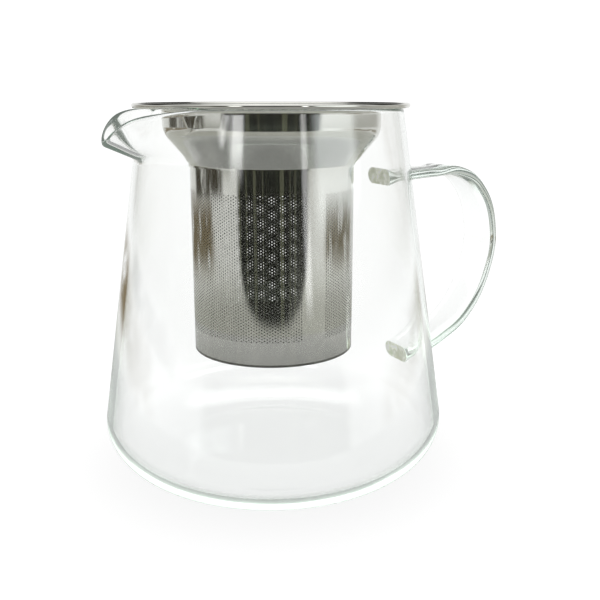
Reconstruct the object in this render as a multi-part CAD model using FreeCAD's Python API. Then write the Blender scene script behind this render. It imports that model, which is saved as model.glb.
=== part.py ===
import FreeCAD, Part
import math
import os

from FreeCAD import Rotation, Vector

# Glass teapot with a lift-out steel infuser and a sunk lid.
# Millimetres, +Z up, base on Z = 0, pot axis on Z, handle towards +X, pouring lip towards -X.

# Glass jug
jug_height = 124.0        # table to the top of the rim
foot_radius = 37.7        # flat part of the base
corner_width = 22.0       # rounded foot corner, across
corner_height = 17.8      # rounded foot corner, up
wall_taper = 0.15         # inward lean of the wall per millimetre of height
wall = 2.2                # glass of the wall
floor = 3.0               # glass of the base

# Pouring lip, the top of the wall folded outwards to a pinched nose
lip_depth = 18.4          # height of the wall that is drawn out
lip_start = 1.0           # straight wall before the fold
lip_bend = 2.8            # fold radius at the middle of the glass
lip_fold = 75.0           # fold at the nose, degrees
lip_spread = 44.0         # half of the rim that the fold dies out over, degrees
lip_side = 0.5            # share of the fold that the broad sides of the lip take
lip_pinch = 10.0          # how sharply the rest of the fold gathers to the nose
lip_nose = 0.12           # roundness of the nose
lip_trim = 2.0            # the nose is shorter than the wall it came from

# Strap handle
weld_top = 99.4           # height of the upper weld
weld_foot = 30.2          # height of the lower weld
handle_reach = 95.9       # pot axis to the farthest point of the strap's middle line
strap_width = 17.5
strap_thick = 3.2
weld_width = 14.0         # strap gathered at the welds, across
weld_thick = 7.6          # strap gathered at the welds, up
weld_share = 0.07         # share of the strap's length that gathers to each weld

# Infuser, pressed steel
sheet = 0.5
flange_overhang = 2.07    # rolled edge beyond the outside of the glass rim
curl_radius = 0.9         # rolled edge
curl_turn = 260.0         # how far the edge is rolled, degrees
mouth_gap = 5.2           # between the cup and the inside of the glass rim
cup_depth = 8.2           # straight wall of the cup
funnel_depth = 9.7        # cup wall to the foot of the funnel
funnel_lip = 0.8          # short straight lip that grips the tube
shoulder_bend = 7.0       # inside of the bend from the cup to the funnel
flange_bend = 1.2         # inside of the bend from the cup to the flange
tube_radius = 27.8
tube_sheet = 0.4
tube_foot = 43.0          # height of the tube's lower edge
base_plate = 0.8
base_spigot = 2.6         # upturned ring inside the tube

# Coarse holes of the strainer, which stand for its fine ones
hole_radius = 0.9
hole_pitch = 4.7
plain_margin = 7.6        # plain bands at the tube's two ends
seam_strip = 8.4          # plain strip along the welded seam

# Sunk lid, knob and screw
lid_sheet = 0.6
lid_drop = 7.5            # depth of the dish below the flange
lid_bend = 1.6
knob_sink = 0.6           # knob top below the rolled edge
knob_radius = 9.0
knob_neck = 4.4
knob_cap = 2.6            # thickness of the knob's cap
screw_radius = 2.0
screw_head_radius = 3.7
screw_head = 2.2
screw_grip = 4.4          # thread inside the knob
screw_slot = 0.9
vent_radius = 1.5
vent_offset = 22.0

# Clearances
seat_gap = 0.05           # faces that rest on each other
fit_gap = 0.05            # pieces pushed or screwed together
lift_gap = 0.5            # lid in its cup and inside the rolled edge

# Values that follow from the sizes above
lean = math.atan(wall_taper)
outer_span = math.hypot(corner_width, wall_taper * corner_height)
rim_radius = foot_radius + outer_span - wall_taper * (jug_height - corner_height)
flange_radius = rim_radius + flange_overhang
cup_radius = rim_radius - wall / math.cos(lean) - mouth_gap
flange_under = jug_height + seat_gap
flange_top = flange_under + sheet
cup_foot = flange_under - cup_depth
funnel_foot = cup_foot - funnel_depth
lid_under = flange_top + seat_gap
dish_under = lid_under - lid_drop
dish_top = dish_under + lid_sheet
rolled_top = flange_under + 2 * curl_radius


def at(radius, height):
    return Vector(radius, 0, height)


def turned(edges):
    # A closed outline spun around the pot's axis.
    face = Part.Face(Part.Wire(Part.sortEdges(edges)[0]))
    return face.revolve(Vector(0, 0, 0), Vector(0, 0, 1), 360)


def rounded(points, radii):
    # A path along the points with each corner between them rounded off.
    edges = []
    last = points[0]
    for before, corner, after, radius in zip(points, points[1:], points[2:], radii):
        back = (before - corner).normalize()
        ahead = (after - corner).normalize()
        half = back.getAngle(ahead) / 2
        start = corner + back * (radius / math.tan(half))
        end = corner + ahead * (radius / math.tan(half))
        middle = corner + (back + ahead).normalize() * (radius / math.sin(half) - radius)
        edges.append(Part.makeLine(last, start))
        edges.append(Part.Arc(start, middle, end).toShape())
        last = end
    edges.append(Part.makeLine(last, points[-1]))
    return edges


def left_of(points, distance):
    # The same path moved sideways, to the left of its direction.
    sides = []
    for first, second in zip(points, points[1:]):
        run = (second - first).normalize()
        sides.append(Vector(-run.z, 0, run.x))
    moved = [points[0] + sides[0] * distance]
    for point, one, two in zip(points[1:], sides, sides[1:]):
        moved.append(point + (one + two) * (distance / (1 + one.dot(two))))
    moved.append(points[-1] + sides[-1] * distance)
    return moved


def sheet_faces(points, bends, thickness):
    # Both faces of a bent sheet; each bend is given by its inner radius.
    right_radii = []
    left_radii = []
    for before, corner, after, bend in zip(points, points[1:], points[2:], bends):
        right_turn = (corner - before).cross(after - corner).y > 0
        right_radii.append(bend if right_turn else bend + thickness)
        left_radii.append(bend + thickness if right_turn else bend)
    moved = left_of(points, thickness)
    return rounded(points, right_radii) + rounded(moved, left_radii), moved


def arc(centre, radius, start, end):
    # Arc in the outline's plane, its angles in degrees from the outward direction.
    points = []
    for angle in (start, (start + end) / 2, end):
        turn = math.radians(angle)
        points.append(centre + Vector(math.cos(turn), 0, math.sin(turn)) * radius)
    return Part.Arc(*points).toShape()


# Glass jug
inner_span = outer_span - wall / math.cos(lean)
inner_height = corner_height - floor
inner_width = math.sqrt(inner_span ** 2 - (wall_taper * inner_height) ** 2)


def wall_radius(height):
    # Outside of the glass between the foot corner and the rim.
    return rim_radius + wall_taper * (jug_height - height)


def corner_points(width, height):
    # Elliptical foot corner, from the flat base until it runs smoothly into the leaning wall.
    steps = 12
    touch = math.atan2(wall_taper * height, width)
    points = []
    for step in range(steps + 1):
        turn = (touch + math.pi / 2) * (step / steps) ** 1.3 - math.pi / 2
        points.append(at(foot_radius + width * math.cos(turn), corner_height + height * math.sin(turn)))
    return points


def lip_share(angle):
    # Share of the full fold at this many degrees from the nose: a pinched nose on broad, low sides.
    share = min(abs(angle) / lip_spread, 1)
    blunt = math.hypot(share, lip_nose) - lip_nose
    pinched = (1 - blunt / (math.hypot(1, lip_nose) - lip_nose)) ** lip_pinch
    broad = (1 - share * share) ** 1.5
    return pinched + lip_side * (broad - pinched)


def lip_point(run, fold):
    # Middle of the glass this far up the folded wall, and the lean of the wall there.
    bend_length = lip_bend * math.radians(lip_fold)
    curve = bend_length / max(fold, 1e-6)
    first = min(run, lip_start)
    bent = min(max(run - lip_start, 0), bend_length)
    last = max(run - lip_start - bend_length, 0)
    heading = bent / curve - lean
    radius = wall_radius(jug_height - lip_depth) - wall / 2 / math.cos(lean) - first * math.sin(lean)
    radius += curve * (math.cos(lean) - math.cos(heading)) + last * math.sin(heading)
    height = jug_height - lip_depth + first * math.cos(lean)
    height += curve * (math.sin(heading) + math.sin(lean)) + last * math.cos(heading)
    return at(radius, height), heading


def rim_points(angle):
    # Top of the wall: up its outside, over the rim bead and down its inside.
    share = lip_share(angle)
    length = (lip_depth - wall / 2) / math.cos(lean) - lip_trim * share
    outside = []
    inside = []
    steps = 10
    for step in range(steps + 1):
        middle, heading = lip_point(length * step / steps, math.radians(lip_fold) * share)
        side = Vector(math.cos(heading), 0, -math.sin(heading)) * (wall / 2)
        outside.append(middle + side)
        inside.insert(0, middle - side)
    bead = []
    bead_steps = 8
    for step in range(1, bead_steps):
        turn = math.pi * step / bead_steps - heading
        bead.append(middle + Vector(math.cos(turn), 0, math.sin(turn)) * (wall / 2))
    return outside + bead + inside


def jug_points(angle):
    # Glass outline from the foot up the outside, over the rim and down to the inner floor.
    outside = corner_points(corner_width, corner_height)
    inside = corner_points(inner_width, inner_height)[::-1]
    rim = rim_points(angle)
    shares = (0.04, 0.1, 0.2, 0.4, 0.6, 0.8, 0.94)
    rise = [outside[-1] + (rim[0] - outside[-1]) * share for share in shares]
    fall = [inside[0] + (rim[-1] - inside[0]) * share for share in shares[::-1]]
    return outside + rise + rim + fall + inside


def jug_skin():
    # Half of the glass skin: half circles from the nose to the handle side, joined along the outline.
    lip_steps = 34
    plain_steps = 18
    turns = [2 * lip_spread * step / lip_steps - lip_spread for step in range(lip_steps)]
    for step in range(plain_steps):
        turns.append(lip_spread + 2 * (180 - lip_spread) * step / plain_steps)
    outlines = []
    for turn in turns:
        around = Rotation(Vector(0, 0, 1), 180 + turn)
        outlines.append([around.multVec(point) for point in jug_points(min(abs(turn), 360 - turn))])
    rings = []
    for points in zip(*outlines):
        ring = Part.BSplineCurve()
        ring.interpolate(Points=list(points), PeriodicFlag=True, Parameters=turns + [360 - lip_spread])
        ring.segment(0, 180)
        rings.append(ring)
    plain = jug_points(180)
    runs = [0]
    for point, following in zip(plain, plain[1:]):
        runs.append(runs[-1] + point.distanceToPoint(following))
    lines = []
    for poles in zip(*[ring.getPoles() for ring in rings]):
        line = Part.BSplineCurve()
        line.interpolate(Points=list(poles), Parameters=runs)
        lines.append(line)
    skin = Part.BSplineSurface()
    skin.buildFromPolesMultsKnots([line.getPoles() for line in lines], rings[0].getMultiplicities(),
                                  lines[0].getMultiplicities(), rings[0].getKnots(), lines[0].getKnots(),
                                  False, False, 3, 3)
    return skin.toShape(), rings[0].toShape(), rings[-1].toShape()


def jug_body():
    # Both halves of the skin and the two flats of the base.
    half, foot, inner_floor = jug_skin()
    faces = [half, half.mirror(Vector(0, 0, 0), Vector(0, 1, 0))]
    for ring in (foot, inner_floor):
        faces.append(Part.Face(Part.Wire([ring, ring.mirror(Vector(0, 0, 0), Vector(0, 1, 0))])))
    skin = Part.Compound(faces)
    skin.sewShape()
    return Part.Solid(skin.Shells[0])


# Glass strap handle, its ends cut to the wall that they are welded to
def strap_section(centre, run, width, thick):
    # Flat strap with round edges, square to its path.
    up = Vector(-run.z, 0, run.x) * (thick / 2)
    flat = Vector(0, (width - thick) / 2, 0)
    edge = Vector(0, width / 2, 0)
    top = Part.makeLine(centre + up + flat, centre + up - flat)
    near = Part.Arc(centre + up - flat, centre - edge, centre - up - flat).toShape()
    under = Part.makeLine(centre - up - flat, centre - up + flat)
    far = Part.Arc(centre - up + flat, centre + edge, centre + up + flat).toShape()
    return Part.Wire([top, near, under, far])


def handle():
    # Share of the reach and share of the height between the welds, from the upper weld to the lower one.
    shape = [(-0.07, 0.995), (0.38, 1.012), (0.625, 1.012), (0.84, 0.922), (1.0, 0.682),
             (0.96, 0.438), (0.706, 0.185), (0.364, 0.064), (-0.08, -0.02)]
    points = []
    for out, up in shape:
        height = weld_foot + up * (weld_top - weld_foot)
        points.append(at(wall_radius(height) + out * (handle_reach - wall_radius(height)), height))
    path = Part.BSplineCurve()
    path.interpolate(points)
    steps = 48
    sections = []
    for step in range(steps + 1):
        place = path.parameterAtDistance(path.length() * step / steps)
        inward = min(min(step, steps - step) / steps / weld_share, 1)
        ease = inward * inward * (3 - 2 * inward)
        width = weld_width + (strap_width - weld_width) * ease
        thick = weld_thick + (strap_thick - weld_thick) * ease
        sections.append(strap_section(path.value(place), path.tangent(place)[0], width, thick))
    strap = Part.makeLoft(sections, True, False)
    return strap.cut(Part.makeCone(wall_radius(0), wall_radius(jug_height), jug_height))


# Infuser collar: rolled flange, cup and funnel pressed from one sheet
def infuser_collar():
    lip_radius = tube_radius + fit_gap + sheet
    points = [at(lip_radius, funnel_foot - funnel_lip), at(lip_radius, funnel_foot)]
    points += [at(cup_radius, cup_foot), at(cup_radius, flange_under)]
    points.append(at(flange_radius - curl_radius, flange_under))
    edges, inner = sheet_faces(points, [sheet, shoulder_bend, flange_bend], sheet)
    centre = at(flange_radius - curl_radius, flange_under + curl_radius)
    outer_curl = arc(centre, curl_radius, -90, curl_turn - 90)
    inner_curl = arc(centre, curl_radius - sheet, -90, curl_turn - 90)
    edges += [outer_curl, inner_curl]
    ends = [curl.valueAt(curl.LastParameter) for curl in (outer_curl, inner_curl)]
    edges.append(Part.makeLine(*ends))
    edges.append(Part.makeLine(points[0], inner[0]))
    return turned(edges)


# Infuser tube: holed sheet rolled to a cylinder, with a plain strip along the seam that faces -Y
def infuser_tube():
    height = funnel_foot - tube_foot
    wall_ring = Part.makeCylinder(tube_radius, height, at(0, tube_foot))
    wall_ring = wall_ring.cut(Part.makeCylinder(tube_radius - tube_sheet, height, at(0, tube_foot)))
    field = height - 2 * plain_margin
    rows = int(field / hole_pitch)
    around = 2 * math.pi * tube_radius - seam_strip
    columns = int(around / (hole_pitch * math.sqrt(3) / 2))
    holes = []
    for column in range(columns):
        turn = (seam_strip / 2 + around * (column + 0.5) / columns) / tube_radius - math.pi / 2
        outward = Vector(math.cos(turn), math.sin(turn), 0)
        for row in range(rows):
            level = tube_foot + plain_margin + field * (row + 0.25 + 0.5 * (column % 2)) / rows
            start = outward * (tube_radius - 2 * tube_sheet) + Vector(0, 0, level)
            holes.append(Part.makeCylinder(hole_radius, 3 * tube_sheet, start, outward))
    return wall_ring.cut(holes)


# Infuser base: holed disc with an upturned ring inside the tube
def infuser_base():
    ring_outside = tube_radius - tube_sheet - fit_gap
    low = tube_foot - base_plate
    plate = Part.makeCylinder(tube_radius, base_plate, at(0, low))
    ring = Part.makeCylinder(ring_outside, base_plate + base_spigot, at(0, low))
    ring = ring.cut(Part.makeCylinder(ring_outside - sheet, base_spigot, at(0, tube_foot)))
    holes = [Part.makeCylinder(hole_radius, base_plate, at(0, low))]
    for circle in range(1, int((ring_outside - sheet - hole_radius - 1) / hole_pitch) + 1):
        for hole in range(6 * circle):
            turn = math.radians(60 * hole / circle)
            place = Vector(math.cos(turn), math.sin(turn), 0) * (hole_pitch * circle)
            holes.append(Part.makeCylinder(hole_radius, base_plate, place + Vector(0, 0, low)))
    return plate.fuse(ring).cut(holes).removeSplitter()


# Lid plate: pressed dish that hangs in the cup from a flat brim, with a vent hole
def lid_plate():
    hole_edge = screw_radius + 2 * fit_gap
    skirt = cup_radius - sheet - lift_gap
    brim = flange_radius - 2 * curl_radius - lift_gap
    points = [at(hole_edge, dish_under), at(skirt, dish_under)]
    points += [at(skirt, lid_under), at(brim, lid_under)]
    edges, upper = sheet_faces(points, [lid_bend, lid_bend], lid_sheet)
    edges.append(Part.makeLine(points[0], upper[0]))
    edges.append(Part.makeLine(points[-1], upper[-1]))
    vent = Part.makeCylinder(vent_radius, lid_sheet, at(vent_offset, dish_under))
    return turned(edges).cut(vent)


# Lid knob: turned mushroom with a blind hole for the screw
def lid_knob():
    bore = screw_radius + fit_gap
    top = rolled_top - knob_sink
    bore_top = dish_top + screw_grip + 2 * fit_gap
    neck_top = top - knob_cap
    points = [at(bore, dish_top), at(knob_neck + 1, dish_top), at(knob_neck, (dish_top + neck_top) / 2),
              at(knob_radius, neck_top), at(knob_radius, top), at(0, top)]
    edges = rounded(points, [0.4, 2.0, 0.6, 1.4])
    edges.append(Part.makeLine(at(0, top), at(0, bore_top)))
    edges.append(Part.makeLine(at(0, bore_top), at(bore, bore_top)))
    edges.append(Part.makeLine(at(bore, bore_top), at(bore, dish_top)))
    return turned(edges)


# Knob screw: round head below the dish, shank through it into the knob
def knob_screw():
    low = dish_under - screw_head
    tip = dish_top + screw_grip
    head_edge = at(screw_head_radius, dish_under)
    shank_start = at(screw_radius, dish_under)
    edges = rounded([at(0, low), at(screw_head_radius, low), head_edge], [0.9])
    edges.append(Part.makeLine(head_edge, shank_start))
    edges += rounded([shank_start, at(screw_radius, tip), at(0, tip)], [0.4])
    edges.append(Part.makeLine(at(0, tip), at(0, low)))
    slot = Part.makeBox(4 * screw_head_radius, screw_slot, screw_head / 2)
    slot.translate(Vector(-2 * screw_head_radius, -screw_slot / 2, low))
    return turned(edges).cut(slot)


os.makedirs("parts", exist_ok=True)
glass = [jug_body, handle]
infuser = [infuser_collar, infuser_tube, infuser_base]
lid = [lid_plate, lid_knob, knob_screw]
for piece in glass + infuser + lid:
    piece().exportStep("parts/" + piece.__name__ + ".step")
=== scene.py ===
import math

import bmesh
import bpy
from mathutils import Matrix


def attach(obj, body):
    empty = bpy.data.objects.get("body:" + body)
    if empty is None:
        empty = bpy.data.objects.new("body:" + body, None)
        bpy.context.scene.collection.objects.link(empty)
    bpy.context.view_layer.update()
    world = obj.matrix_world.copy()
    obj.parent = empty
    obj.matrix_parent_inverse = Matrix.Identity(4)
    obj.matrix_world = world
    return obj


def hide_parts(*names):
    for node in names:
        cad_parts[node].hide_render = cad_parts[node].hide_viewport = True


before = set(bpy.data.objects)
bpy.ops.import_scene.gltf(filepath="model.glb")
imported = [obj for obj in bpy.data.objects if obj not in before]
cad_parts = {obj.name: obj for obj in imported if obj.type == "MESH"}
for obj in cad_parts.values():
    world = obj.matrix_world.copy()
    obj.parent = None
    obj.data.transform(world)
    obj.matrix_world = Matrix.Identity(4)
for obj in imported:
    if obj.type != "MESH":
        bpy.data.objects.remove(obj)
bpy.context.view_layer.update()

# Jug body: one piece of clear borosilicate glass, blown into a mould, with a flat base and a tapering wall.
# The rim is melted to a bead, and at the front the hot wall is drawn outwards to a pinched pouring lip.
MM = 0.001
FOOT, CORNER_WIDE, CORNER_HIGH, TAPER = 37.7, 22.0, 17.8, 0.15
JUG_HIGH, WALL, FLOOR = 124.0, 2.2, 3.0
LIP_DEEP, LIP_START, LIP_BEND, LIP_FOLD = 18.4, 1.0, 2.8, math.radians(75)
LIP_SPREAD, LIP_PINCH, LIP_NOSE, LIP_TRIM, LIP_SIDE = 44.0, 10.0, 0.12, 2.0, 0.5
LIP_STEPS = 32
LEAN = math.atan(TAPER)
OUT_SPAN = math.hypot(CORNER_WIDE, TAPER * CORNER_HIGH)


def wall_radius(height):
    # Outside of the tapering wall.
    return FOOT + OUT_SPAN - TAPER * (height - CORNER_HIGH)


def foot_corner(wide, high, steps=26):
    # Quarter of an ellipse from the flat of the base to where it meets the leaning wall.
    touch = math.atan2(TAPER * high, wide)
    turns = [(touch + math.pi / 2) * (i / steps) - math.pi / 2 for i in range(steps + 1)]
    return [(FOOT + wide * math.cos(t), CORNER_HIGH + high * math.sin(t)) for t in turns]


def folded_wall(run, fold):
    # Point and heading on the middle of the glass, a run above the lip's foot: straight, bent, straight.
    bend_length = LIP_BEND * LIP_FOLD
    curve = bend_length / max(fold, 1e-6)
    bent = min(max(run - LIP_START, 0), bend_length)
    last = max(run - LIP_START - bend_length, 0)
    first = min(run, LIP_START)
    heading = bent / curve - LEAN
    low = JUG_HIGH - LIP_DEEP
    r = wall_radius(low) - WALL / 2 / math.cos(LEAN) - first * math.sin(LEAN)
    r += curve * (math.cos(LEAN) - math.cos(heading)) + last * math.sin(heading)
    z = low + first * math.cos(LEAN) + curve * (math.sin(heading) + math.sin(LEAN)) + last * math.cos(heading)
    return r, z, heading


def straight(start, end, steps=24):
    # The points between two others, without them.
    (r, z), (to_r, to_z) = start, end
    return [(r + (to_r - r) * i / steps, z + (to_z - z) * i / steps) for i in range(1, steps)]


def jug_outline(turn):
    # From the middle of the base out and up the wall, over the rim and down to the middle of the floor.
    from_nose = abs((math.degrees(turn) % 360) - 180)
    share = min(from_nose / LIP_SPREAD, 1)
    blunt = (math.hypot(share, LIP_NOSE) - LIP_NOSE) / (math.hypot(1, LIP_NOSE) - LIP_NOSE)
    share = (1 - LIP_SIDE) * (1 - blunt) ** LIP_PINCH + LIP_SIDE * (1 - share * share) ** 1.5
    length = (LIP_DEEP - WALL / 2) / math.cos(LEAN) - LIP_TRIM * share
    outside, inside = [], []
    for i in range(LIP_STEPS + 1):
        r, z, heading = folded_wall(length * i / LIP_STEPS, LIP_FOLD * share)
        side = (math.cos(heading) * WALL / 2, -math.sin(heading) * WALL / 2)
        outside.append((r + side[0], z + side[1]))
        inside.insert(0, (r - side[0], z - side[1]))
    bead = [math.pi * i / 12 - heading for i in range(1, 12)]
    bead = [(r + math.cos(t) * WALL / 2, z + math.sin(t) * WALL / 2) for t in bead]
    inner_span = OUT_SPAN - WALL / math.cos(LEAN)
    inner_high = CORNER_HIGH - FLOOR
    inner_wide = math.sqrt(inner_span ** 2 - (TAPER * inner_high) ** 2)
    low = foot_corner(CORNER_WIDE, CORNER_HIGH)
    rise = straight(low[-1], outside[0])
    end = foot_corner(inner_wide, inner_high)[::-1]
    fall = straight(inside[-1], end[0])
    flat = [(FOOT * i / 6, 0.0) for i in range(6)]
    inner_flat = [(FOOT * i / 6, FLOOR) for i in range(5, -1, -1)]
    return flat + low + rise + outside + bead + inside + fall + end + inner_flat


def turned(radius, turn, height):
    # A place around the pot's axis, in metres.
    return (radius * math.cos(turn) * MM, radius * math.sin(turn) * MM, height * MM)


def spun(name, outline, turns, ring=False, sharp=None):
    # A piece turned about the pot's axis. A ring's outline is a loop, any other runs from axis to axis.
    mesh = bpy.data.meshes.new(name)
    build = bmesh.new()
    columns = []
    poles = None
    for turn in turns:
        points = outline(turn)
        if not ring:
            if poles is None:
                poles = [build.verts.new((0, 0, points[i][1] * MM)) for i in (0, -1)]
            points = points[1:-1]
        column = [build.verts.new(turned(r, turn, z)) for r, z in points]
        columns.append(column if ring else [poles[0]] + column + [poles[1]])
    rows = len(columns[0])
    for here, there in zip(columns, columns[1:] + columns[:1]):
        for i in range(rows if ring else rows - 1):
            j = (i + 1) % rows
            corners = [here[i], there[i], there[j], here[j]]
            build.faces.new(list(dict.fromkeys(corners)))
    bmesh.ops.recalc_face_normals(build, faces=build.faces)
    build.to_mesh(mesh)
    build.free()
    mesh.shade_smooth()
    if sharp:
        mesh.set_sharp_from_angle(angle=math.radians(sharp))
    piece = bpy.data.objects.new(name, mesh)
    bpy.context.collection.objects.link(piece)
    return piece


def node(tree, kind, **values):
    # A new node; in_ marks the value of an input, anything else is a property.
    made = tree.nodes.new(kind)
    for key, value in values.items():
        if key.startswith("in_"):
            made.inputs[key[3:].replace("_", " ")].default_value = value
        else:
            setattr(made, key, value)
    return made


def maths(tree, operation, *values):
    # One maths node; each value is a number or another node's output.
    step = node(tree, "ShaderNodeMath", operation=operation)
    for socket, value in zip(step.inputs, values):
        if isinstance(value, (int, float)):
            socket.default_value = value
        else:
            tree.links.new(value, socket)
    return step.outputs[0]


def eased(tree, value, start, end, low=0.0, high=1.0):
    # A soft step from low to high while the value goes from start to end.
    step = node(tree, "ShaderNodeMapRange", interpolation_type="SMOOTHSTEP", in_To_Min=low, in_To_Max=high)
    step.inputs["From Min"].default_value = start
    step.inputs["From Max"].default_value = end
    tree.links.new(value, step.inputs["Value"])
    return step.outputs[0]


def clear_glass(name, tint, density, ripple):
    # Fire-polished glass: bright and smooth, with the faint ripple and the green edge of its thickness, and a
    # painted glow inside.
    finish = bpy.data.materials.new(name)
    finish.use_nodes = True
    tree = finish.node_tree
    shader = tree.nodes["Principled BSDF"]
    shader.inputs["Base Color"].default_value = (1, 1, 1, 1)
    shader.inputs["Roughness"].default_value = 0.0
    shader.inputs["IOR"].default_value = 1.47
    shader.inputs["Transmission Weight"].default_value = 1.0
    place = node(tree, "ShaderNodeTexCoord")
    squeeze = node(tree, "ShaderNodeMapping")
    squeeze.inputs["Scale"].default_value = (1.0, 1.0, 0.35)
    wave = node(tree, "ShaderNodeTexNoise", in_Scale=34.0, in_Detail=1.5, in_Roughness=0.4)
    bump = node(tree, "ShaderNodeBump", in_Strength=ripple, in_Distance=0.0006)
    tree.links.new(place.outputs["Object"], squeeze.inputs["Vector"])
    tree.links.new(squeeze.outputs["Vector"], wave.inputs["Vector"])
    tree.links.new(wave.outputs["Fac"], bump.inputs["Height"])
    tree.links.new(bump.outputs["Normal"], shader.inputs["Normal"])
    # A painted glow on rays that have bounced inside the glass stands in for the light that runs on inside it
    # and leaves it pale, most of all low down in the thick base.
    inside = node(tree, "ShaderNodeLightPath")
    bounced_glow_share = maths(tree, "GREATER_THAN", inside.outputs["Glossy Depth"], 2.5)
    level = node(tree, "ShaderNodeSeparateXYZ")
    tree.links.new(place.outputs["Object"], level.inputs[0])
    low = eased(tree, level.outputs["Z"], 0.02, 0.06, 1.0, 0.12)
    shader.inputs["Emission Color"].default_value = (0.56, 0.62, 0.57, 1)
    tree.links.new(maths(tree, "MULTIPLY", bounced_glow_share, low), shader.inputs["Emission Strength"])
    depth = node(tree, "ShaderNodeVolumeAbsorption", in_Color=tint, in_Density=density)
    tree.links.new(depth.outputs["Volume"], tree.nodes["Material Output"].inputs["Volume"])
    return finish


lip_turns = [math.pi + math.radians(LIP_SPREAD) * i / 60 for i in range(-60, 61)]
plain_turns = [math.radians(180 + LIP_SPREAD + (360 - 2 * LIP_SPREAD) * i / 132) for i in range(1, 132)]
jug = spun("jug_glass", jug_outline, lip_turns + plain_turns)
jug_glass = clear_glass("jug_clear_glass", (0.72, 0.90, 0.80, 1), 15.0, 0.25)
jug.data.materials.append(jug_glass)
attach(jug, "jug")
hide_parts("jug_body")

# Strap handle: a glass rod pressed to a flat strap with round edges and bent to an ear while hot.
# Both ends are thickened and melted on to the wall, opposite the lip, and keep a cloudy weld there.
WELD_TOP, WELD_FOOT, REACH = 99.4, 30.2, 95.9
STRAP_WIDE, STRAP_THICK, WELD_WIDE, WELD_THICK = 17.5, 3.2, 14.0, 7.6
WELD_SHARE, WELD_SEAM = 0.07, 0.03


def strap_tree():
    # A path swept with a flat, round-edged section that gathers to a thicker, narrower one at its ends.
    tree = bpy.data.node_groups.new("strap_sweep", "GeometryNodeTree")
    tree.interface.new_socket("Geometry", in_out="INPUT", socket_type="NodeSocketGeometry")
    for label in ("Width", "Thickness", "Weld Width", "Weld Thickness"):
        tree.interface.new_socket(label, in_out="INPUT", socket_type="NodeSocketFloat")
    tree.interface.new_socket("Finish", in_out="INPUT", socket_type="NodeSocketMaterial")
    tree.interface.new_socket("Geometry", in_out="OUTPUT", socket_type="NodeSocketGeometry")
    given, made = node(tree, "NodeGroupInput"), node(tree, "NodeGroupOutput")
    link = tree.links.new

    def kept(curve, **values):
        # Notes values of a curve's points for use on the swept mesh.
        note = node(tree, "GeometryNodeCaptureAttribute")
        link(curve, note.inputs["Geometry"])
        for label, value in values.items():
            note.capture_items.new("FLOAT" if label == "Along" else "VECTOR", label)
            link(value, note.inputs[label])
        return note.outputs

    def along_to(vector, share):
        step = node(tree, "ShaderNodeVectorMath", operation="SCALE")
        link(vector, step.inputs[0])
        link(share, step.inputs["Scale"])
        return step.outputs[0]

    path = node(tree, "GeometryNodeResampleCurve", in_Count=200)
    link(given.outputs["Geometry"], path.inputs["Curve"])
    spot = node(tree, "GeometryNodeInputPosition").outputs[0]
    path = kept(path.outputs["Curve"], Centre=spot, Run=node(tree, "GeometryNodeInputTangent").outputs[0],
                Along=node(tree, "GeometryNodeSplineParameter").outputs["Factor"])
    circle = node(tree, "GeometryNodeCurvePrimitiveCircle", in_Resolution=44, in_Radius=1.0)
    circle = kept(circle.outputs["Curve"], Round=spot)
    sweep = node(tree, "GeometryNodeCurveToMesh")
    link(path["Geometry"], sweep.inputs["Curve"])
    link(circle["Geometry"], sweep.inputs["Profile Curve"])
    weld = eased(tree, maths(tree, "PINGPONG", path["Along"], 0.5), 0.0, WELD_SHARE)
    sizes = []
    for narrow, full in (("Weld Width", "Width"), ("Weld Thickness", "Thickness")):
        change = maths(tree, "SUBTRACT", given.outputs[full], given.outputs[narrow])
        sizes.append(maths(tree, "ADD", given.outputs[narrow], maths(tree, "MULTIPLY", change, weld)))
    half = maths(tree, "MULTIPLY", sizes[1], 0.5)
    flat = maths(tree, "SUBTRACT", maths(tree, "MULTIPLY", sizes[0], 0.5), half)
    turn = node(tree, "ShaderNodeSeparateXYZ")
    link(circle["Round"], turn.inputs[0])
    straight_part = maths(tree, "MULTIPLY", maths(tree, "SIGN", turn.outputs["X"]), flat)
    across = maths(tree, "ADD", straight_part, maths(tree, "MULTIPLY", turn.outputs["X"], half))
    upright = node(tree, "ShaderNodeVectorMath", operation="CROSS_PRODUCT")
    link(path["Run"], upright.inputs[0])
    upright.inputs[1].default_value = (0, 1, 0)
    lift = along_to(upright.outputs[0], maths(tree, "MULTIPLY", turn.outputs["Y"], half))
    aside = node(tree, "ShaderNodeCombineXYZ")
    link(across, aside.inputs["Y"])
    placed = lift
    for part in (aside.outputs[0], path["Centre"]):
        total = node(tree, "ShaderNodeVectorMath", operation="ADD")
        link(placed, total.inputs[0])
        link(part, total.inputs[1])
        placed = total.outputs[0]
    shaped = node(tree, "GeometryNodeSetPosition")
    link(sweep.outputs["Mesh"], shaped.inputs["Geometry"])
    link(placed, shaped.inputs["Position"])
    single = node(tree, "GeometryNodeRealizeInstances")
    painted = node(tree, "GeometryNodeSetMaterial")
    link(shaped.outputs["Geometry"], single.inputs["Geometry"])
    link(single.outputs["Geometry"], painted.inputs["Geometry"])
    link(given.outputs["Finish"], painted.inputs["Material"])
    link(painted.outputs["Geometry"], made.inputs["Geometry"])
    return tree


def set_inputs(modifier, **values):
    # Fills a tree's named inputs by their socket identifiers.
    for item in modifier.node_group.interface.items_tree:
        if item.item_type == "SOCKET" and item.in_out == "INPUT" and item.name in values:
            modifier[item.identifier] = values[item.name]


def as_mesh(source, name):
    # The finished result of a tree as a plain mesh object; the object that carried the tree goes.
    bpy.context.view_layer.update()
    graph = bpy.context.evaluated_depsgraph_get()
    mesh = bpy.data.meshes.new_from_object(source.evaluated_get(graph), depsgraph=graph)
    mesh.name = name
    bpy.data.objects.remove(source)
    piece = bpy.data.objects.new(name, mesh)
    bpy.context.collection.objects.link(piece)
    return piece


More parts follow.
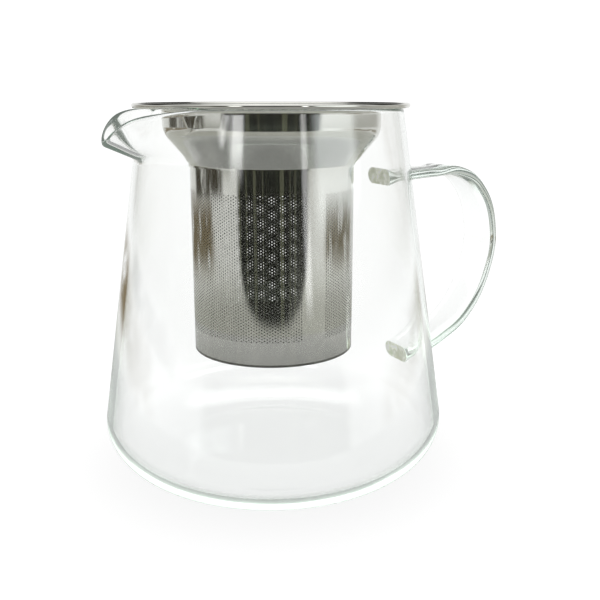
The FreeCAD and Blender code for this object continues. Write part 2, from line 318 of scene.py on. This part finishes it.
def weld_radius(point):
    # Where the strap's end stops, at the height of the point.
    return (wall_radius(point.z / MM) + WELD_SEAM) * MM


def weld_face(point):
    # The point moved straight out from the pot's axis to the outside of the wall.
    out = math.hypot(point.x, point.y)
    reach = weld_radius(point)
    return (point.x * reach / out, point.y * reach / out, point.z)


def welded_ends(piece):
    # Cuts both ends of the strap to the wall and closes them with faces that follow it.
    build = bmesh.new()
    build.from_mesh(piece.data)
    buried = [v for v in build.verts if math.hypot(v.co.x, v.co.y) < weld_radius(v.co)]
    bmesh.ops.delete(build, geom=buried, context="VERTS")
    rims = bmesh.ops.holes_fill(build, edges=[e for e in build.edges if e.is_boundary], sides=0)["faces"]
    for rim in rims:
        loop = [v for v in rim.verts]
        bmesh.ops.delete(build, geom=[rim], context="FACES_ONLY")
        middle = sum((v.co for v in loop), loop[0].co * 0) / len(loop)
        rings = [loop]
        for share in (1.0, 0.8, 0.6, 0.4, 0.2):
            rings.append([build.verts.new(weld_face(middle + (v.co - middle) * share)) for v in loop])
        tip = build.verts.new(weld_face(middle))
        for outer, inner in zip(rings, rings[1:]):
            for i in range(len(loop)):
                k = (i + 1) % len(loop)
                face = build.faces.new([outer[i], outer[k], inner[k], inner[i]])
                face.material_index = 1 if outer is not loop else 0
        for i in range(len(loop)):
            face = build.faces.new([rings[-1][i], rings[-1][(i + 1) % len(loop)], tip])
            face.material_index = 1
    bmesh.ops.recalc_face_normals(build, faces=build.faces)
    build.to_mesh(piece.data)
    build.free()
    piece.data.shade_smooth()
    piece.data.set_sharp_from_angle(angle=math.radians(50))


def weld_glass():
    # Cloudy, slightly yellow glass where the hot strap was pressed on to the wall, with a painted glow.
    finish = clear_glass("handle_weld", (0.72, 0.88, 0.70, 1), 9.0, 0.5)
    tree = finish.node_tree
    shader = tree.nodes["Principled BSDF"]
    shader.inputs["Transmission Weight"].default_value = 0.12
    cloud = node(tree, "ShaderNodeTexNoise", in_Scale=420.0, in_Detail=3.0, in_Roughness=0.6)
    tree.links.new(tree.nodes["Texture Coordinate"].outputs["Object"], cloud.inputs["Vector"])
    tone = node(tree, "ShaderNodeValToRGB")
    tone.color_ramp.elements[0].position = 0.36
    tone.color_ramp.elements[0].color = (0.66, 0.68, 0.52, 1)
    tone.color_ramp.elements[1].position = 0.62
    tone.color_ramp.elements[1].color = (1.0, 1.0, 0.92, 1)
    gloss = node(tree, "ShaderNodeMapRange", in_To_Min=0.12, in_To_Max=0.4)
    tree.links.new(cloud.outputs["Fac"], tone.inputs["Fac"])
    tree.links.new(cloud.outputs["Fac"], gloss.inputs["Value"])
    tree.links.new(tone.outputs["Color"], shader.inputs["Base Color"])
    tree.links.new(gloss.outputs["Result"], shader.inputs["Roughness"])
    # A painted glow in the weld's own tone stands in for the light that the strap carries to it.
    tree.links.new(tone.outputs["Color"], shader.inputs["Emission Color"])
    tree.links.remove(shader.inputs["Emission Strength"].links[0])
    shader.inputs["Emission Strength"].default_value = 0.3
    return finish


# Points of the ear: share of the reach from the wall, and share of the height between the two welds.
ear = [(-0.07, 0.995), (0.38, 1.012), (0.625, 1.012), (0.84, 0.922), (1.0, 0.682), (0.96, 0.438),
       (0.706, 0.185), (0.364, 0.064), (-0.08, -0.02)]
ear_curve = bpy.data.curves.new("handle_path", "CURVE")
ear_curve.dimensions = "3D"
ear_curve.resolution_u = 24
spline = ear_curve.splines.new("BEZIER")
spline.bezier_points.add(len(ear) - 1)
for point, (out, up) in zip(spline.bezier_points, ear):
    z = WELD_FOOT + up * (WELD_TOP - WELD_FOOT)
    point.co = ((wall_radius(z) + out * (REACH - wall_radius(z))) * MM, 0, z * MM)
    point.handle_left_type = point.handle_right_type = "AUTO"
handle_path = bpy.data.objects.new("handle_path", ear_curve)
bpy.context.collection.objects.link(handle_path)
sweep = handle_path.modifiers.new("strap", "NODES")
sweep.node_group = strap_tree()
handle_glass = clear_glass("handle_clear_glass", (0.72, 0.88, 0.78, 1), 20.0, 0.2)
set_inputs(sweep, **{"Width": STRAP_WIDE * MM, "Thickness": STRAP_THICK * MM, "Weld Width": WELD_WIDE * MM,
                     "Weld Thickness": WELD_THICK * MM, "Finish": handle_glass})
strap = as_mesh(handle_path, "handle_strap")
strap.data.materials.append(weld_glass())
welded_ends(strap)
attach(strap, "jug")
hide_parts("handle")

# Infuser collar: stainless sheet drawn into a cup with a funnel below and a wide flange above.
# The flange's edge is rolled over to a smooth bead, and the collar hangs by the flange on the glass rim.
SHEET, FLANGE, CURL = 0.5, 46.0, 0.9
CUP, FLANGE_UNDER, FIT_GAP = 36.5, 124.05, 0.05
COLLAR_FOOT, CURL_TURN, ROUND_STEPS = 105.35, 260, 192
TUBE = 27.8


def bent(points, radii, steps=7):
    # A path along the points with its corners rounded.
    path = [points[0]]
    for (ax, az), (bx, bz), (cx, cz), radius in zip(points, points[1:], points[2:], radii):
        back, ahead = math.atan2(az - bz, ax - bx), math.atan2(cz - bz, cx - bx)
        half = abs((ahead - back + math.pi) % (2 * math.pi) - math.pi) / 2
        middle = math.atan2(math.sin(back) + math.sin(ahead), math.cos(back) + math.cos(ahead))
        away = radius / math.sin(half)
        ox, oz = bx + math.cos(middle) * away, bz + math.sin(middle) * away
        cut = radius / math.tan(half)
        start = math.atan2(bz + math.sin(back) * cut - oz, bx + math.cos(back) * cut - ox)
        end = math.atan2(bz + math.sin(ahead) * cut - oz, bx + math.cos(ahead) * cut - ox)
        sweep_angle = (end - start + math.pi) % (2 * math.pi) - math.pi
        for i in range(steps + 1):
            turn = start + sweep_angle * i / steps
            path.append((ox + radius * math.cos(turn), oz + radius * math.sin(turn)))
    return path + [points[-1]]


def polished_steel(name, colour, rough, grain, grain_stretch):
    # Bright stainless sheet: slightly uneven polish along the rolling or spinning direction.
    finish = bpy.data.materials.new(name)
    finish.use_nodes = True
    tree = finish.node_tree
    shader = tree.nodes["Principled BSDF"]
    shader.inputs["Metallic"].default_value = 1.0
    place = node(tree, "ShaderNodeTexCoord")
    stretch = node(tree, "ShaderNodeMapping")
    stretch.inputs["Scale"].default_value = grain_stretch
    wear = node(tree, "ShaderNodeTexNoise", in_Scale=90.0, in_Detail=4.0, in_Roughness=0.6)
    tree.links.new(place.outputs["Object"], stretch.inputs["Vector"])
    tree.links.new(stretch.outputs["Vector"], wear.inputs["Vector"])
    tone = node(tree, "ShaderNodeValToRGB")
    tone.color_ramp.elements[0].position = 0.3
    tone.color_ramp.elements[0].color = tuple(c * 0.93 for c in colour) + (1,)
    tone.color_ramp.elements[1].position = 0.7
    tone.color_ramp.elements[1].color = tuple(min(c * 1.04, 1) for c in colour) + (1,)
    gloss = node(tree, "ShaderNodeMapRange", in_To_Min=rough * 0.7, in_To_Max=rough * 1.4)
    bump = node(tree, "ShaderNodeBump", in_Strength=grain, in_Distance=0.0002)
    tree.links.new(wear.outputs["Fac"], tone.inputs["Fac"])
    tree.links.new(wear.outputs["Fac"], gloss.inputs["Value"])
    tree.links.new(wear.outputs["Fac"], bump.inputs["Height"])
    tree.links.new(tone.outputs["Color"], shader.inputs["Base Color"])
    tree.links.new(gloss.outputs["Result"], shader.inputs["Roughness"])
    tree.links.new(bump.outputs["Normal"], shader.inputs["Normal"])
    return finish


def rolled_edge(radius, turns):
    # Points on the flange's rolled edge.
    return [(FLANGE - CURL + radius * math.cos(t), FLANGE_UNDER + CURL + radius * math.sin(t)) for t in turns]


# Outside and inside of the sheet: inset, foot of the funnel, foot of the cup and the bends between.
OUTER = (0.0, 106.15, 115.85, [0.5, 7.5, 1.2])
INNER = (SHEET, 106.34, 116.03, [1.0, 7.0, 1.7])
faces = []
for inset, funnel_foot, cup_foot, bends in (OUTER, INNER):
    lip, cup, flange = TUBE + FIT_GAP + SHEET - inset, CUP - inset, FLANGE_UNDER + inset
    corners = [(lip, COLLAR_FOOT), (lip, funnel_foot), (cup, cup_foot), (cup, flange)]
    corners.append((FLANGE - CURL, flange))
    faces.append(bent(corners, bends))
curl = [math.radians(-90 + CURL_TURN * i / 20) for i in range(1, 21)]
collar_loop = faces[0] + rolled_edge(CURL, curl) + rolled_edge(CURL - SHEET, curl[::-1]) + faces[1][::-1]
round_turns = [2 * math.pi * i / ROUND_STEPS for i in range(ROUND_STEPS)]
collar = spun("collar_sheet", lambda turn: collar_loop, round_turns, ring=True, sharp=50)
collar.data.materials.append(polished_steel("collar_polish", (0.62, 0.62, 0.58), 0.07, 0.004, (1, 1, 0.2)))
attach(collar, "infuser")
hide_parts("infuser_collar")

# Infuser tube: thin stainless sheet with fine round holes in staggered columns, rolled to a cylinder.
# A plain strip is left along the welded seam and plain bands at both ends, where collar and base are fixed.
TUBE_SHEET, TUBE_FOOT, TUBE_TOP = 0.4, 43.0, 106.15
FIELD_FOOT, PITCH, ROWS, COLUMNS, HOLE = 50.2, 1.0, 48, 192, 0.26
SECTORS = 3
CELL_WIDE = PITCH * math.sqrt(3) / 2
FIELD_TURN = COLUMNS * CELL_WIDE / TUBE


def sheet_cell(name, wide, high, hole):
    # One cell of the sheet, lying flat: a plain plate, or a plate with a round hole through it.
    mesh = bpy.data.meshes.new(name)
    build = bmesh.new()
    rim = [(-1, -1), (0, -1), (1, -1), (1, 0), (1, 1), (0, 1), (-1, 1), (-1, 0)]
    if not hole:
        rim = [(-1, -1), (0, -1), (1, -1), (1, 1), (0, 1), (-1, 1)]
    sides = []
    for level in (0, -TUBE_SHEET):
        edge = [build.verts.new((x * wide / 2 * MM, y * high / 2 * MM, level * MM)) for x, y in rim]
        inner = []
        for x, y in rim if hole else []:
            inner.append(build.verts.new(turned(hole, math.atan2(y, x), level)))
        sides.append((edge, inner))
        if not hole:
            build.faces.new(edge if level == 0 else edge[::-1])
            continue
        for i in range(8):
            quad = [edge[i], edge[(i + 1) % 8], inner[(i + 1) % 8], inner[i]]
            build.faces.new(quad if level == 0 else quad[::-1])
    if hole:
        (_, top), (_, under) = sides
        for i in range(8):
            build.faces.new([top[i], top[(i + 1) % 8], under[(i + 1) % 8], under[i]])
    build.to_mesh(mesh)
    build.free()
    cell = bpy.data.objects.new(name, mesh)
    bpy.context.collection.objects.link(cell)
    return cell


def strainer_tree():
    # Holed cells on a staggered grid, plain half cells at the ends of every other column, all rolled up.
    tree = bpy.data.node_groups.new("strainer_sheet", "GeometryNodeTree")
    tree.interface.new_socket("Geometry", in_out="INPUT", socket_type="NodeSocketGeometry")
    kinds = {"Int": ("Columns", "Rows"), "Float": ("Cell Width", "Pitch", "Radius", "Foot", "First Turn"),
             "Object": ("Holed Cell", "Plain Cell"), "Material": ("Finish",)}
    for kind, labels in kinds.items():
        for label in labels:
            tree.interface.new_socket(label, in_out="INPUT", socket_type="NodeSocket" + kind)
    tree.interface.new_socket("Geometry", in_out="OUTPUT", socket_type="NodeSocketGeometry")
    given, made = node(tree, "NodeGroupInput"), node(tree, "NodeGroupOutput")
    link = tree.links.new

    def staggered(rows, pitch, first, half_cells):
        # Points of one kind of cell; half cells sit only on the odd columns, at both ends.
        grid = node(tree, "GeometryNodeMeshGrid")
        grid.inputs["Size X"].default_value = 0.0
        grid.inputs["Size Y"].default_value = 0.0
        link(given.outputs["Columns"], grid.inputs["Vertices X"])
        if isinstance(rows, int):
            grid.inputs["Vertices Y"].default_value = rows
        else:
            link(rows, grid.inputs["Vertices Y"])
        number = node(tree, "GeometryNodeInputIndex").outputs[0]
        column = maths(tree, "FLOOR", maths(tree, "DIVIDE", maths(tree, "ADD", number, 0.5), rows))
        row = maths(tree, "SUBTRACT", number, maths(tree, "MULTIPLY", column, rows))
        odd = maths(tree, "MODULO", column, 2)
        across = maths(tree, "MULTIPLY", maths(tree, "ADD", column, 0.5), given.outputs["Cell Width"])
        if half_cells:
            up = maths(tree, "ADD", maths(tree, "MULTIPLY", row, pitch), first)
            drop = maths(tree, "SUBTRACT", 1, odd)
        else:
            step = maths(tree, "ADD", maths(tree, "ADD", row, 0.5), maths(tree, "MULTIPLY", odd, 0.5))
            up = maths(tree, "MULTIPLY", step, pitch)
            last = maths(tree, "GREATER_THAN", row, maths(tree, "SUBTRACT", rows, 1.5))
            drop = maths(tree, "MULTIPLY", odd, last)
        place = node(tree, "ShaderNodeCombineXYZ")
        link(across, place.inputs["X"])
        link(up, place.inputs["Y"])
        moved = node(tree, "GeometryNodeSetPosition")
        link(grid.outputs["Mesh"], moved.inputs["Geometry"])
        link(place.outputs[0], moved.inputs["Position"])
        kept = node(tree, "GeometryNodeDeleteGeometry", domain="POINT")
        link(moved.outputs[0], kept.inputs["Geometry"])
        link(maths(tree, "GREATER_THAN", drop, 0.5), kept.inputs["Selection"])
        return kept.outputs[0]

    def cells(points, which):
        shape = node(tree, "GeometryNodeObjectInfo")
        link(given.outputs[which], shape.inputs["Object"])
        placed = node(tree, "GeometryNodeInstanceOnPoints")
        link(points, placed.inputs["Points"])
        link(shape.outputs["Geometry"], placed.inputs["Instance"])
        return placed.outputs["Instances"]

    holed = cells(staggered(given.outputs["Rows"], given.outputs["Pitch"], 0.0, False), "Holed Cell")
    quarter = maths(tree, "MULTIPLY", given.outputs["Pitch"], 0.25)
    field = maths(tree, "MULTIPLY", given.outputs["Rows"], given.outputs["Pitch"])
    ends = maths(tree, "SUBTRACT", field, maths(tree, "MULTIPLY", quarter, 2))
    plain = cells(staggered(2, ends, quarter, True), "Plain Cell")
    both = node(tree, "GeometryNodeJoinGeometry")
    link(holed, both.inputs[0])
    link(plain, both.inputs[0])
    single = node(tree, "GeometryNodeRealizeInstances")
    link(both.outputs[0], single.inputs[0])
    joined = node(tree, "GeometryNodeMergeByDistance", in_Distance=0.00002)
    link(single.outputs[0], joined.inputs["Geometry"])
    flat = node(tree, "ShaderNodeSeparateXYZ")
    link(node(tree, "GeometryNodeInputPosition").outputs[0], flat.inputs[0])
    turn = maths(tree, "DIVIDE", flat.outputs["X"], given.outputs["Radius"])
    turn = maths(tree, "ADD", turn, given.outputs["First Turn"])
    reach = maths(tree, "ADD", given.outputs["Radius"], flat.outputs["Z"])
    rolled = node(tree, "ShaderNodeCombineXYZ")
    link(maths(tree, "MULTIPLY", reach, maths(tree, "COSINE", turn)), rolled.inputs["X"])
    link(maths(tree, "MULTIPLY", reach, maths(tree, "SINE", turn)), rolled.inputs["Y"])
    link(maths(tree, "ADD", flat.outputs["Y"], given.outputs["Foot"]), rolled.inputs["Z"])
    wrapped = node(tree, "GeometryNodeSetPosition")
    link(joined.outputs[0], wrapped.inputs["Geometry"])
    link(rolled.outputs[0], wrapped.inputs["Position"])
    painted = node(tree, "GeometryNodeSetMaterial")
    link(wrapped.outputs[0], painted.inputs["Geometry"])
    link(given.outputs["Finish"], painted.inputs["Material"])
    link(painted.outputs[0], made.inputs[0])
    return tree


holed_cell = sheet_cell("strainer_cell", CELL_WIDE, PITCH, HOLE)
plain_cell = sheet_cell("plain_half_cell", CELL_WIDE, PITCH / 2, None)
tube_polish = polished_steel("tube_polish", (0.62, 0.62, 0.58), 0.05, 0.004, (1, 1, 0.12))
# The inside face gets a rougher, darker copy of the steel; its darker tone is a painted shade inside the
# tube.
tube_inside_shaded = polished_steel("tube_inside_shaded", (0.36, 0.36, 0.33), 0.35, 0.004, (1, 1, 0.12))
rolled_sheet = strainer_tree()
seam_turn = 2 * math.pi - FIELD_TURN
for sector in range(SECTORS):
    blank = bpy.data.objects.new("sheet_blank", bpy.data.meshes.new("sheet_blank"))
    bpy.context.collection.objects.link(blank)
    field = blank.modifiers.new("holes", "NODES")
    field.node_group = rolled_sheet
    set_inputs(field, **{"Columns": COLUMNS // SECTORS, "Rows": ROWS, "Cell Width": CELL_WIDE * MM,
                         "Pitch": PITCH * MM, "Radius": TUBE * MM, "Foot": FIELD_FOOT * MM,
                         "First Turn": -math.pi / 2 + seam_turn / 2 + FIELD_TURN * sector / SECTORS,
                         "Holed Cell": holed_cell, "Plain Cell": plain_cell, "Finish": tube_polish})
    strainer = as_mesh(blank, "tube_strainer_%d" % sector)
    strainer.data.shade_smooth()
    strainer.data.set_sharp_from_angle(angle=math.radians(40))
    strainer.data.materials.clear()
    strainer.data.materials.append(tube_polish)
    strainer.data.materials.append(tube_inside_shaded)
    # Faces inside the tube get the painted-shade copy of the steel.
    for face in strainer.data.polygons:
        face.material_index = int(math.hypot(face.center.x, face.center.y) < (TUBE - 0.3) * MM)
    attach(strainer, "infuser")
    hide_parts("infuser_tube")
for cell in (holed_cell, plain_cell):
    bpy.data.objects.remove(cell)


def tube_band(name, foot, top, turns, ring_round):
    # A plain stretch of the rolled sheet, closed on all sides.
    mesh = bpy.data.meshes.new(name)
    build = bmesh.new()
    inside = TUBE - TUBE_SHEET
    corners = ((TUBE, foot), (TUBE, top), (inside, top), (inside, foot))
    columns = [[build.verts.new(turned(r, turn, z)) for r, z in corners] for turn in turns]
    for here, there in zip(columns, columns[1:] + (columns[:1] if ring_round else [])):
        for i in range(4):
            build.faces.new([here[i], there[i], there[(i + 1) % 4], here[(i + 1) % 4]])
    if not ring_round:
        build.faces.new(columns[0])
        build.faces.new(columns[-1])
    bmesh.ops.recalc_face_normals(build, faces=build.faces)
    build.to_mesh(mesh)
    build.free()
    mesh.shade_smooth()
    mesh.set_sharp_from_angle(angle=math.radians(40))
    band = bpy.data.objects.new(name, mesh)
    bpy.context.collection.objects.link(band)
    band.data.materials.append(tube_polish)
    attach(band, "infuser")
    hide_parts("infuser_tube")


strip_turns = [-math.pi / 2 - seam_turn / 2 + seam_turn * i / 16 for i in range(17)]
tube_band("tube_foot_band", TUBE_FOOT, FIELD_FOOT, round_turns, True)
tube_band("tube_top_band", FIELD_FOOT + ROWS * PITCH, TUBE_TOP, round_turns, True)
tube_band("tube_seam_strip", FIELD_FOOT, FIELD_FOOT + ROWS * PITCH, strip_turns, False)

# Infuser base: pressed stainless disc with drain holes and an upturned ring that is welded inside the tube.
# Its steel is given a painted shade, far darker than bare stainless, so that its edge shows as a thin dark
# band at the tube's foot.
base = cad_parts["infuser_base"]
base.data.materials.clear()
base.data.materials.append(polished_steel("base_shaded_steel", (0.22, 0.22, 0.20), 0.22, 0.03, (1, 1, 1)))

# Lid plate: pressed stainless dish that hangs in the collar's cup from its flat brim, inside the rolled edge.
# It is spun after pressing, which leaves a fine circular grain; a vent hole lets the steam out.
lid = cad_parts["lid_plate"]
lid.data.materials.clear()
lid.data.materials.append(polished_steel("lid_satin", (0.64, 0.64, 0.63), 0.24, 0.05, (1, 1, 1)))

# Lid knob: turned from stainless bar and polished, low enough to stay below the rolled edge.
# The screw through the dish holds it from below.
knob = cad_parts["lid_knob"]
knob.data.materials.clear()
knob.data.materials.append(polished_steel("knob_polish", (0.70, 0.69, 0.67), 0.12, 0.02, (1, 1, 0.3)))

# Knob screw: slotted round-head screw, driven up through the dish into the knob.
# Plain machined stainless.
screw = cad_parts["knob_screw"]
screw.data.materials.clear()
screw.data.materials.append(polished_steel("screw_steel", (0.58, 0.58, 0.57), 0.3, 0.04, (1, 1, 1)))

# Stage: white table under the pot and a white studio around it, with a dark figure, brown furniture and lamps
# on the camera's side, which steel and glass mirror. The table stays white with a very faint shadow, painted
# into its glow with a trace of the real one.
TABLE = 0.2
table_mesh = bpy.data.meshes.new("table_top")
build = bmesh.new()
bmesh.ops.create_circle(build, cap_ends=True, segments=128, radius=TABLE)
build.to_mesh(table_mesh)
build.free()
table = bpy.data.objects.new("table_top", table_mesh)
table.location.z = -0.0002
bpy.context.collection.objects.link(table)

paper = bpy.data.materials.new("white_table")
paper.use_nodes = True
tree = paper.node_tree
shader = tree.nodes["Principled BSDF"]
shader.inputs["Base Color"].default_value = (0.86, 0.86, 0.85, 1)
shader.inputs["Roughness"].default_value = 0.9
shader.inputs["Specular IOR Level"].default_value = 0.0
# The camera, and rays straight through the glass, see an even glow with a painted shadow that makes it weaker
# near the pot; mirrors see the table as a dim painted glow, darker nearer the pot.
path = node(tree, "ShaderNodeLightPath")
glow = node(tree, "ShaderNodeEmission")
place = node(tree, "ShaderNodeTexCoord")
far = node(tree, "ShaderNodeVectorMath", operation="LENGTH")
tree.links.new(place.outputs["Object"], far.inputs[0])
plain = eased(tree, far.outputs["Value"], 0.05, 0.13, 0.985, 1.0)
# Painted shadow: the glow falls from 1.1 far out to 0.92 near the pot.
tree.links.new(eased(tree, far.outputs["Value"], 0.03, 0.11, 0.92, 1.1), glow.inputs["Strength"])
unmirrored = maths(tree, "LESS_THAN", path.outputs["Glossy Depth"], 0.5)
through = maths(tree, "MULTIPLY", path.outputs["Is Transmission Ray"], unmirrored)
seen = maths(tree, "MAXIMUM", maths(tree, "MULTIPLY", path.outputs["Is Camera Ray"], plain), through)
dim = node(tree, "ShaderNodeEmission")
# Painted shade for mirrors: the table glows only 0.36 to 0.56, less nearer the pot.
tree.links.new(eased(tree, far.outputs["Value"], 0.13, TABLE, 0.36, 0.56), dim.inputs["Strength"])
mirrored = maths(tree, "MULTIPLY", maths(tree, "GREATER_THAN", path.outputs["Glossy Depth"], 0.5), 0.85)
under = shader.outputs[0]
for share, light in ((mirrored, dim), (seen, glow)):
    mix = node(tree, "ShaderNodeMixShader")
    tree.links.new(share, mix.inputs[0])
    tree.links.new(under, mix.inputs[1])
    tree.links.new(light.outputs[0], mix.inputs[2])
    under = mix.outputs[0]
tree.links.new(under, tree.nodes["Material Output"].inputs["Surface"])
table_mesh.materials.append(paper)

world = bpy.data.worlds.new("studio")
bpy.context.scene.world = world
world.use_nodes = True
tree = world.node_tree
CAMERA_TURN = math.radians(30.5)
look = node(tree, "ShaderNodeTexCoord")
swung = node(tree, "ShaderNodeVectorRotate", rotation_type="Z_AXIS", in_Angle=CAMERA_TURN)
tree.links.new(look.outputs["Generated"], swung.inputs["Vector"])
facing = node(tree, "ShaderNodeSeparateXYZ")
tree.links.new(swung.outputs[0], facing.inputs[0])
to_side = maths(tree, "ARCTAN2", facing.outputs["X"], maths(tree, "MULTIPLY", facing.outputs["Y"], -1.0))
side = maths(tree, "MULTIPLY", to_side, 180 / math.pi)
rise = maths(tree, "MULTIPLY", maths(tree, "ARCSINE", facing.outputs["Z"]), 180 / math.pi)


def window(left, right, low, high, side_blur, rise_blur):
    # Share of one upright patch of the room, seen from the pot; degrees from the camera's direction and up.
    across = maths(tree, "MULTIPLY", eased(tree, side, left - side_blur, left + side_blur),
                   eased(tree, side, right - side_blur, right + side_blur, 1.0, 0.0))
    along = maths(tree, "MULTIPLY", eased(tree, rise, low - rise_blur, low + rise_blur),
                  eased(tree, rise, high - rise_blur, high + rise_blur, 1.0, 0.0))
    return maths(tree, "MULTIPLY", across, along)


def laid_over(under, over, share):
    # One colour over another; each is a plain colour or a node's output.
    layer = node(tree, "ShaderNodeMix", data_type="RGBA", blend_type="MIX")
    tree.links.new(share, layer.inputs["Factor"])
    for socket, colour in ((layer.inputs["A"], under), (layer.inputs["B"], over)):
        if isinstance(colour, tuple):
            socket.default_value = colour + (1,)
        else:
            tree.links.new(colour, socket)
    return layer.outputs["Result"]


# Noise that breaks up the furniture, then the white room with a grey horizon and a darker floor.
place = node(tree, "ShaderNodeCombineXYZ")
tree.links.new(side, place.inputs["X"])
tree.links.new(maths(tree, "MULTIPLY", rise, 3.0), place.inputs["Y"])
patches = node(tree, "ShaderNodeTexNoise", in_Scale=0.07, in_Detail=5.0, in_Roughness=0.65)
tree.links.new(place.outputs[0], patches.inputs["Vector"])
broken = eased(tree, patches.outputs["Fac"], 0.36, 0.5)
room = laid_over((1.0, 1.0, 1.0), (0.42, 0.41, 0.37), window(-140, 140, -4.0, 9.0, 12, 2.5))
room = laid_over(room, (0.58, 0.58, 0.54), eased(tree, rise, -11.0, -15.5))
# Bare steel and the strap mirror a bright sky in front and a dark one behind, the jug's inside the reverse.
path = node(tree, "ShaderNodeLightPath")
bare = maths(tree, "LESS_THAN", path.outputs["Transmission Depth"], 2.5)
in_glass = maths(tree, "SUBTRACT", 1.0, bare)
front_sky = maths(tree, "MULTIPLY", window(-85, 85, 6.0, 95.0, 12, 5), in_glass)
front_sky = maths(tree, "MAXIMUM", front_sky, window(-85, 85, 6.0, 24.0, 12, 5))
room = laid_over(room, (0.02, 0.02, 0.018), front_sky)
beyond = eased(tree, maths(tree, "ABSOLUTE", side), 92.0, 110.0)
back_light = maths(tree, "MULTIPLY", maths(tree, "MULTIPLY", eased(tree, rise, 50.0, 60.0), beyond), in_glass)
room = laid_over(room, (3.0, 3.0, 3.0), back_light)
back_sky = maths(tree, "MULTIPLY", maths(tree, "MULTIPLY", eased(tree, rise, 14.0, 22.0), beyond), bare)
room = laid_over(room, (0.06, 0.06, 0.055), back_sky)
# Things on the walls, each a colour and a patch; the noise breaks up all but the dark one.
left_wall = ((0.19, 0.185, 0.14), (-90, -26, -4.5, 6.0, 9, 2))
dark_door = ((0.004, 0.004, 0.003), (-27, 15, -5.0, 8.0, 4, 2))
left_chest = ((0.22, 0.17, 0.10), (-156, -88, -12.0, -7.0, 8, 1.6))
right_chest = ((0.28, 0.24, 0.17), (80, 142, -11.6, -7.4, 6, 1.5))
chest_top = ((0.06, 0.05, 0.035), (-128, -70, -6.8, -4.2, 4, 0.5))
for thing in (left_wall, dark_door, left_chest, right_chest, chest_top):
    share = window(*thing[1])
    if thing is not dark_door:
        share = maths(tree, "MULTIPLY", share, broken)
    room = laid_over(room, thing[0], share)
# The dark figure, a rounded box of upright stripes.
stripe_place = node(tree, "ShaderNodeCombineXYZ")
tree.links.new(side, stripe_place.inputs["X"])
stripes = node(tree, "ShaderNodeTexNoise", in_Scale=0.11, in_Detail=3.0, in_Roughness=0.7)
tree.links.new(stripe_place.outputs[0], stripes.inputs["Vector"])
figure = node(tree, "ShaderNodeValToRGB")
tones = [(0.30, (0.18, 0.09, 0.07)), (0.38, (0.012, 0.010, 0.009)), (0.52, (0.006, 0.007, 0.005)),
         (0.60, (0.16, 0.165, 0.11)), (0.68, (0.02, 0.02, 0.015))]
while len(figure.color_ramp.elements) < len(tones):
    figure.color_ramp.elements.new(0.5)
for element, (position, colour) in zip(figure.color_ramp.elements, tones):
    element.position = position
    element.color = colour + (1,)
tree.links.new(stripes.outputs["Fac"], figure.inputs["Fac"])
off = []
for angle, middle, reach, power in ((side, 3.0, 50.0, 2.5), (rise, -8.0, 8.5, 3.0)):
    share = maths(tree, "DIVIDE", maths(tree, "SUBTRACT", angle, middle), reach)
    off.append(maths(tree, "POWER", maths(tree, "ABSOLUTE", share), power))
room = laid_over(room, figure.outputs["Color"], eased(tree, maths(tree, "ADD", *off), 1.1, 0.8))
# Two narrow lamps and a broad one, whose reflections are the streaks on the glass.
room = laid_over(room, (7.0, 7.0, 7.0), window(-32, -22, 11.5, 18.5, 2.0, 1.6))
room = laid_over(room, (4.0, 4.0, 4.0), window(26, 30.5, 1.5, 18.0, 1.2, 1.5))
room = laid_over(room, (3.6, 3.8, 3.8), window(37, 74, 7.0, 18.5, 5, 2))
# The camera sees plain white, also straight through the glass.
unmirrored = maths(tree, "LESS_THAN", path.outputs["Glossy Depth"], 0.5)
through = maths(tree, "MULTIPLY", path.outputs["Is Transmission Ray"], unmirrored)
shown = laid_over(room, (1.1, 1.1, 1.1), maths(tree, "MAXIMUM", path.outputs["Is Camera Ray"], through))
tree.links.new(shown, tree.nodes["Background"].inputs["Color"])
tree.nodes["Background"].inputs["Strength"].default_value = 1.0

lamp = bpy.data.lights.new("overhead_softbox", "AREA")
lamp.shape = "DISK"
lamp.size = 0.7
lamp.energy = 1.5
softbox = bpy.data.objects.new("overhead_softbox", lamp)
softbox.location = (0.1, 0.15, 0.8)
softbox.rotation_euler = (-0.18, 0.12, 0)
bpy.context.collection.objects.link(softbox)

lens = bpy.data.cameras.new("photo_camera")
lens.lens = 47.59
lens.sensor_width = 36.0
lens.clip_start = 0.01
camera = bpy.data.objects.new("photo_camera", lens)
camera.location = (-0.1302, -0.2397, 0.1276)
camera.rotation_euler = (math.radians(90 - 14.36), 0, -CAMERA_TURN)
bpy.context.collection.objects.link(camera)
bpy.context.scene.camera = camera
bpy.context.scene.view_settings.view_transform = "Standard"
